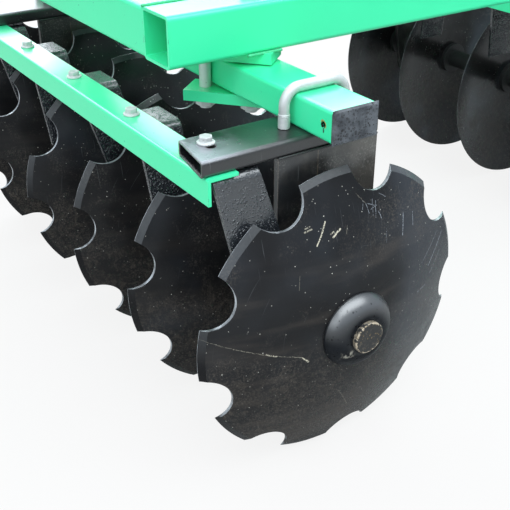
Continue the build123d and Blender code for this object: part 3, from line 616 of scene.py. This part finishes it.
# How the discs of each gang look: what is added to the seed, dust, strength of the painted bluish
# sheen, polish of the rim.
DISC_LOOKS = {"rear": (0, 0.5, 0.45, 1.0), "front": (7, 0.8, 1.7, 0.4)}
for gang, (hand, axle_y) in GANGS.items():
    more_seed, *looks = DISC_LOOKS[gang]
    for number, rim_x in enumerate(RIM_PLACES, 1):
        centre = (hand * rim_x, axle_y, AXLE_Z)
        marks = NEAR_MARKS if gang == "rear" and number == 1 else ()
        name = f"{gang}_disc_paint_{number}"
        paint = disc_paint(name, centre, hand, number + more_seed, marks, *looks)
        give(paint, f"{gang}_disc_{number}")


# ------------------------------------------------------------------ making pieces
def place_in_mesh():
    """Moves the place, turn and size of the selected piece into its mesh."""
    bpy.ops.object.transform_apply(location=True, rotation=True, scale=True)


def settle(piece, name, body, material, smooth=35):
    """Names a finished piece, puts its place in its mesh, and hands it to its body."""
    bpy.ops.object.select_all(action="DESELECT")
    piece.select_set(True)
    bpy.context.view_layer.objects.active = piece
    place_in_mesh()
    bpy.ops.object.shade_smooth_by_angle(angle=radians(smooth))
    piece.name = name
    piece.data.name = name
    piece.data.materials.clear()
    piece.data.materials.append(material)
    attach(piece, body)
    return piece


def copy_at(pattern, name, shift, body, mirrored=False):
    """Another of a finished piece, moved in its own mesh, mirrored left to right if asked."""
    mesh = pattern.data.copy()
    if mirrored:
        mesh.transform(Matrix.Diagonal((-1, 1, 1, 1)))
        mesh.flip_normals()
    mesh.transform(Matrix.Translation(shift))
    piece = bpy.data.objects.new(name, mesh)
    mesh.name = name
    bpy.context.scene.collection.objects.link(piece)
    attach(piece, body)
    return piece


def apply_modifier(piece, kind, **settings):
    """Adds a modifier and applies it at once."""
    bpy.context.view_layer.objects.active = piece
    modifier = piece.modifiers.new(kind, kind)
    for key, value in settings.items():
        setattr(modifier, key, value)
    bpy.ops.object.modifier_apply(modifier=modifier.name)


def choose(kind, items, wanted):
    """In edit mode on the active mesh, selects the faces or edges that wanted(item) picks."""
    bpy.ops.object.mode_set(mode="EDIT")
    bpy.ops.mesh.select_mode(type=kind)
    bpy.ops.mesh.select_all(action="DESELECT")
    bpy.ops.object.mode_set(mode="OBJECT")
    for item in items:
        item.select = bool(wanted(item))
    bpy.ops.object.mode_set(mode="EDIT")


def choose_top(piece):
    """In edit mode on the active piece, selects the faces that look up."""
    choose("FACE", piece.data.polygons, lambda face: face.normal.z > 0.9)


def join(pieces):
    """Makes one piece of several."""
    bpy.ops.object.select_all(action="DESELECT")
    for piece in pieces:
        piece.select_set(True)
    bpy.context.view_layer.objects.active = pieces[0]
    bpy.ops.object.join()
    return pieces[0]


def add_cylinder(radius, depth, base, sides=40):
    """Upright cylinder standing on the point base."""
    bpy.ops.object.select_all(action="DESELECT")
    middle = (base[0], base[1], base[2] + depth / 2)
    bpy.ops.mesh.primitive_cylinder_add(
        vertices=sides, radius=radius, depth=depth, location=middle
    )
    place_in_mesh()
    return bpy.context.object


def soften(piece, width, segments, angle):
    """Bevels the edges that turn by more than angle, in degrees."""
    limit = {"limit_method": "ANGLE", "angle_limit": radians(angle)}
    apply_modifier(piece, "BEVEL", width=width, segments=segments, **limit)


def hex_head(across, height, base):
    """Six-sided head standing on base, its top raised a little and dished in the middle."""
    head = add_cylinder(across / 2 / cos(pi / 6), height, base, 6)
    choose_top(head)
    bpy.ops.mesh.inset(thickness=across * 0.07)
    bpy.ops.transform.translate(value=(0, 0, height * 0.06))
    bpy.ops.mesh.inset(thickness=across * 0.05)
    bpy.ops.mesh.inset(thickness=across * 0.12)
    bpy.ops.transform.translate(value=(0, 0, -height * 0.06))
    bpy.ops.object.mode_set(mode="OBJECT")
    soften(head, across * 0.045, 3, 24)
    return head


def flange(radius, height, base):
    """Round washer face under a head, sloped towards its rim."""
    ring = add_cylinder(radius, height, base)
    choose_top(ring)
    bpy.ops.mesh.inset(thickness=radius * 0.30)
    bpy.ops.transform.translate(value=(0, 0, height * 0.45))
    bpy.ops.object.mode_set(mode="OBJECT")
    soften(ring, height * 0.25, 2, 30)
    return ring


def ribbed_rod(radius, depth, base, pitch, groove, sides=28):
    """Upright rod with a rounded rib every pitch: threads, and the ripples of a weld."""
    rod = add_cylinder(radius, depth, base, sides)
    rings = max(2, int(depth / pitch)) * 2
    points = rod.data.vertices

    def upright(edge):
        first, second = edge.vertices
        return abs(points[first].co.z - points[second].co.z) > depth / 2

    choose("EDGE", rod.data.edges, upright)
    bpy.ops.mesh.subdivide(number_cuts=rings - 1)
    bpy.ops.object.mode_set(mode="OBJECT")
    narrow = 1 - groove / radius
    for vertex in rod.data.vertices:
        ring = round((vertex.co.z - base[2]) / (depth / rings))
        if ring % 2 == 0:
            vertex.co.x = base[0] + (vertex.co.x - base[0]) * narrow
            vertex.co.y = base[1] + (vertex.co.y - base[1]) * narrow
    return rod


# ------------------------------------------------------------------ bolts
BOLT_ACROSS = 0.018
FLANGE_RADIUS = 0.0135
NUT_UNDER_BAR = 0.011
FOOT_BOLT_BACK = 0.188
FOOT_BOLT_IN = 0.075
ARM_BOLT_BACK = 0.181
ARM_BOLT_IN = 0.080
THREAD_HEIGHT = 0.022
THREAD_RADIUS = 0.0091
HOUSING_BOLT_REACH = 0.058
HOUSING_BOLT_IN = 0.023


def foot_bolt(base):
    """Flange bolt standing on base."""
    x, y, z = base
    head = hex_head(BOLT_ACROSS, 0.0085, (x, y, z + 0.0025))
    return join([head, flange(FLANGE_RADIUS, 0.0028, base)])


def foot_nut(base):
    """Flange nut and thread end under base, made standing up and then turned over."""
    x, y, z = base
    nut = hex_head(BOLT_ACROSS, 0.009, base)
    skirt = flange(FLANGE_RADIUS, 0.0025, base)
    thread = ribbed_rod(0.0055, 0.008, (x, y, z + 0.006), 0.0018, 0.0007, 20)
    piece = join([nut, skirt, thread])
    down = Matrix.Translation((0, 0, z)) @ Matrix.Diagonal((1, 1, -1, 1))
    piece.data.transform(down @ Matrix.Translation((0, 0, -z)))
    piece.data.flip_normals()
    return piece


def leg_thread(base):
    """Threaded foot of a U-bolt, just above the arm."""
    return ribbed_rod(THREAD_RADIUS, THREAD_HEIGHT, base, 0.0022, 0.0008, 32)


def plate_bolt(base):
    """Smaller flange bolt, standing out sideways from base."""
    x, y, z = base
    bolt = join([hex_head(0.017, 0.008, (x, y, z + 0.002)), flange(0.0115, 0.0022, base)])
    turn = Matrix.Translation(base) @ Matrix.Rotation(pi / 2, 4, "Y")
    bolt.data.transform(turn @ Matrix.Translation(-Vector(base)))
    return bolt


def bolts(make, places, material, smooth=35, mirrored=False):
    """Makes a bolt at the first of the places, and copies it to the others.

    Each of the places is a name, a point, a body and a hand, which is -1 on the front gang.
    Mirrored bolts are turned about there.
    """
    pattern = None
    for name, place, body, hand in places:
        if pattern is None:
            pattern = settle(make(place), name, body, material, smooth)
            first = Vector(place)
        elif mirrored and hand < 0:
            turned = Vector((-first[0], first[1], first[2]))
            copy_at(pattern, name, Vector(place) - turned, body, mirrored=True)
        else:
            copy_at(pattern, name, Vector(place) - first, body)


foot_bolts = []
foot_nuts = []
leg_threads = []
plate_bolts = []
for gang, (hand, axle_y) in GANGS.items():
    body = f"{gang}_gang"
    for bay, rim_x in enumerate(RIM_PLACES):
        on_arm = bay in HANGER_BAYS
        x = hand * (rim_x - (ARM_BOLT_IN if on_arm else FOOT_BOLT_IN))
        y = axle_y - (ARM_BOLT_BACK if on_arm else FOOT_BOLT_BACK)
        top = (x, y, ARM_TOP if on_arm else BAR_TOP)
        under = (x, y, BAR_TOP - NUT_UNDER_BAR)
        foot_bolts.append((f"{gang}_foot_bolt_{bay + 1}", top, body, hand))
        foot_nuts.append((f"{gang}_foot_nut_{bay + 1}", under, body, hand))
    for bay in HANGER_BAYS:
        leg_x = hand * (RIM_PLACES[bay] - UBOLT_FROM_RIM)
        for end, side in (("back", -1), ("fore", 1)):
            foot = (leg_x, axle_y + side * UBOLT_LEG, ARM_TOP)
            leg_threads.append((f"{gang}_u_bolt_thread_{bay + 1}_{end}", foot, body, hand))
        for number, angle in enumerate((45, 135, 225, 315), 1):
            forward = HOUSING_BOLT_REACH * cos(radians(angle))
            up = HOUSING_BOLT_REACH * sin(radians(angle))
            x = hand * (RIM_PLACES[bay] - HOUSING_BOLT_IN)
            seat = (x, axle_y + forward, AXLE_Z + up)
            plate_bolts.append((f"{gang}_plate_bolt_{bay + 1}_{number}", seat, body, hand))
bolts(foot_bolt, foot_bolts, BRIGHT_ZINC)
bolts(foot_nut, foot_nuts, ZINC)
bolts(leg_thread, leg_threads, BRIGHT_ZINC, smooth=60)
bolts(plate_bolt, plate_bolts, ZINC, mirrored=True)


# ------------------------------------------------------------------ welds
FINE_BEAD = 0.0022
FRAME_BEAD = 0.0028
CROSS_BEAD = 0.003
RIPPLE_PITCH = 0.0075
RIPPLE_DEPTH = 0.22
PLATE_FACES = (0.023, 0.033)
MAST_LEG_EDGES = (0.264, 0.336)
LINK_BRACKET_FACES = (0.3235, 0.3355)
LINK_BRACKET_TOP = 0.701
BRACE_FOOT = 0.062
LUG_REACH = 0.032
EAR_INSET = 0.003
PLATE_INSET = 0.0005
weld_numbers = count(1)


def bead(name, start, end, radius, body, material):
    """Rippled bead from start to end, half sunk in the steel."""
    first = Vector(start)
    run = Vector(end) - first
    rod = ribbed_rod(radius, run.length, (0, 0, 0), RIPPLE_PITCH, radius * RIPPLE_DEPTH, 12)
    turn = Vector((0, 0, 1)).rotation_difference(run).to_matrix().to_4x4()
    rod.data.transform(Matrix.Translation(first) @ turn)
    settle(rod, f"{name}_{next(weld_numbers)}", body, material, 70)


def frame_weld(start, end, radius=FRAME_BEAD):
    bead("weld", start, end, radius, "frame", WELD_GREEN)


def weld_along_y(x, back, fore, z, radius=FRAME_BEAD):
    frame_weld((x, back, z), (x, fore, z), radius)


def weld_upright(x, y, low, high, radius=FRAME_BEAD):
    frame_weld((x, y, low), (x, y, high), radius)


for gang, (hand, axle_y) in GANGS.items():
    plate_low, plate_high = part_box(f"{gang}_hanger_plates")
    fore = plate_high[1] - PLATE_INSET
    back = plate_low[1] + PLATE_INSET
    for bay in HANGER_BAYS:
        for face in PLATE_FACES:
            x = hand * (RIM_PLACES[bay] - face)
            bead(f"{gang}_plate_weld", (x, back, ARM_BOTTOM), (x, fore, ARM_BOTTOM), FINE_BEAD,
                 f"{gang}_gang", WELD_BLACK)

member_low, member_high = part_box("side_member_right")
cross_low, cross_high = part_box("front_cross_member")
leg_low, leg_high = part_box("mast_legs")
ear_low, ear_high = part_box("mast_ears")
brace_low, brace_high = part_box("mast_braces")
FOOT, TOP = member_low[2], member_high[2]
for side in (-1, 1):
    inner = side * member_low[0]
    outer = side * member_high[0]
    for member in ("centre_cross_member", "rear_cross_member"):
        low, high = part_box(member)
        weld_along_y(inner, low[1], high[1], TOP, CROSS_BEAD)
        weld_upright(inner, high[1], FOOT, TOP, CROSS_BEAD)
    frame_weld((inner, cross_low[1], TOP), (outer, cross_low[1], TOP), CROSS_BEAD)
    for x in (inner, outer):
        weld_upright(x, cross_low[1], FOOT, TOP, CROSS_BEAD)
    near, far = (side * edge for edge in MAST_LEG_EDGES)
    for y in (leg_low[1], leg_high[1]):
        frame_weld((near, y, TOP), (far, y, TOP))
    ear_back = cross_low[1] + EAR_INSET
    weld_along_y(side * ear_high[0], ear_back, cross_high[1] - EAR_INSET, TOP)
    weld_along_y(side * brace_high[0], brace_low[1], brace_low[1] + BRACE_FOOT, TOP)
    for face in LINK_BRACKET_FACES:
        weld_upright(side * face, cross_high[1], FOOT, LINK_BRACKET_TOP)
for gang, (hand, axle_y) in GANGS.items():
    for x in (member_low[0], member_high[0], -member_low[0]):
        weld_along_y(x, axle_y - LUG_REACH, axle_y + LUG_REACH, FOOT)

# ------------------------------------------------------------------ lips of the beam's end caps
LIP_SIZE = (0.0026, 0.0822, 0.0522)
LIP_FROM_END = 0.0032
LIP_ROUND = 0.0055
for gang, (hand, axle_y) in GANGS.items():
    low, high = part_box(f"{gang}_beam")
    middle_z = (low[2] + high[2]) / 2
    for side, end, end_x in ((-1, "left", low[0]), (1, "right", high[0])):
        middle = (end_x + side * LIP_FROM_END, axle_y, middle_z)
        bpy.ops.object.select_all(action="DESELECT")
        bpy.ops.mesh.primitive_cube_add(size=1, location=middle, scale=LIP_SIZE)
        lip = bpy.context.object
        place_in_mesh()
        apply_modifier(lip, "BEVEL", width=LIP_ROUND, segments=4, limit_method="ANGLE")
        settle(lip, f"{gang}_cap_lip_{end}", f"{gang}_gang", CAPS)

# ------------------------------------------------------------------ floor
FLOOR_SIZE = 90
FLOOR_WHITENESS = 0.85
bpy.ops.object.select_all(action="DESELECT")
bpy.ops.mesh.primitive_plane_add(size=FLOOR_SIZE, location=(0, 0, 0))
floor = bpy.context.object
floor.name = "floor"
floor_paint, place = new_paint("pale_floor")
pale = blend(noise(place, 3.0, 3.0), (0.47, 0.465, 0.46, 1), (0.51, 0.505, 0.50, 1))
matte = place.node("ShaderNodeBsdfDiffuse", None, {"Color": pale})
glow = place.node("ShaderNodeEmission", None, {"Color": WHITE, "Strength": 1.0})
whiter = place.node("ShaderNodeLightPath", output=0) * FLOOR_WHITENESS
mixed = place.node("ShaderNodeMixShader", None, {0: whiter, 1: matte, 2: glow})
place.node("ShaderNodeOutputMaterial", None, {"Surface": mixed})
floor.data.materials.append(floor_paint)

# ------------------------------------------------------------------ sky and lamps
SKY_STRENGTH = 0.74
world = bpy.data.worlds.new("soft_studio")
bpy.context.scene.world = world
world.use_nodes = True
world.node_tree.nodes.clear()
start = Field(world.node_tree, None)
camera_ray = start.node("ShaderNodeLightPath", output=0)
glossy_ray = start.node("ShaderNodeLightPath", output=3)
glass_ray = start.node("ShaderNodeLightPath", output=6)
backdrop = (camera_ray + glossy_ray + glass_ray).maths("MINIMUM", 1.0)
sky = {"Color": COOL_LIGHT + (1,), "Strength": SKY_STRENGTH}
cool = start.node("ShaderNodeBackground", None, sky)
colour = blend(camera_ray, (0.80, 0.90, 1.0, 1), WHITE)
white = start.node("ShaderNodeBackground", None, {"Color": colour, "Strength": 1.0})
mixed = start.node("ShaderNodeMixShader", None, {0: backdrop, 1: cool, 2: white})
start.node("ShaderNodeOutputWorld", None, {"Surface": mixed})


def softbox(name, place, target, width, height, power):
    """Rectangular lamp at place, facing target and out of the camera's sight."""
    lamp = bpy.data.lights.new(name, "AREA")
    lamp.shape = "RECTANGLE"
    lamp.size = width
    lamp.size_y = height
    lamp.energy = power
    lamp.color = COOL_LIGHT
    box = bpy.data.objects.new(name, lamp)
    bpy.context.scene.collection.objects.link(box)
    box.visible_camera = False
    box.location = place
    aim = Vector(target) - Vector(place)
    box.rotation_euler = aim.to_track_quat("-Z", "Y").to_euler()


NEAR_END = (FIRST_RIM_X, REAR_AXLE_Y, 0.4)
softbox("overhead", (1.6, -0.8, 3.0), NEAR_END, 4.6, 2.2, 138)
softbox("far_side", (-2.7, 0.9, 2.3), (-0.4, 0.1, 0.6), 5.2, 3.4, 215)
softbox("rear_side", (1.5, -3.9, 1.8), NEAR_END, 3.0, 2.0, 30)

# ------------------------------------------------------------------ camera
lens = bpy.data.cameras.new("camera")
lens.lens = 61.5
lens.sensor_width = 36
camera = bpy.data.objects.new("camera", lens)
bpy.context.scene.collection.objects.link(camera)
CAMERA_FROM_DISC = Vector((0.910, -0.760, 0.780))
CAMERA_TURN = Matrix((
    (0.5564, -0.4127, 0.7212),
    (0.8309, 0.2772, -0.4824),
    (-0.0008, 0.8676, 0.4972),
))
eye = Vector((FIRST_RIM_X, REAR_AXLE_Y, AXLE_Z)) + CAMERA_FROM_DISC
camera.matrix_world = Matrix.Translation(eye) @ CAMERA_TURN.to_4x4()
bpy.context.scene.camera = camera
bpy.context.scene.view_settings.view_transform = "Standard"
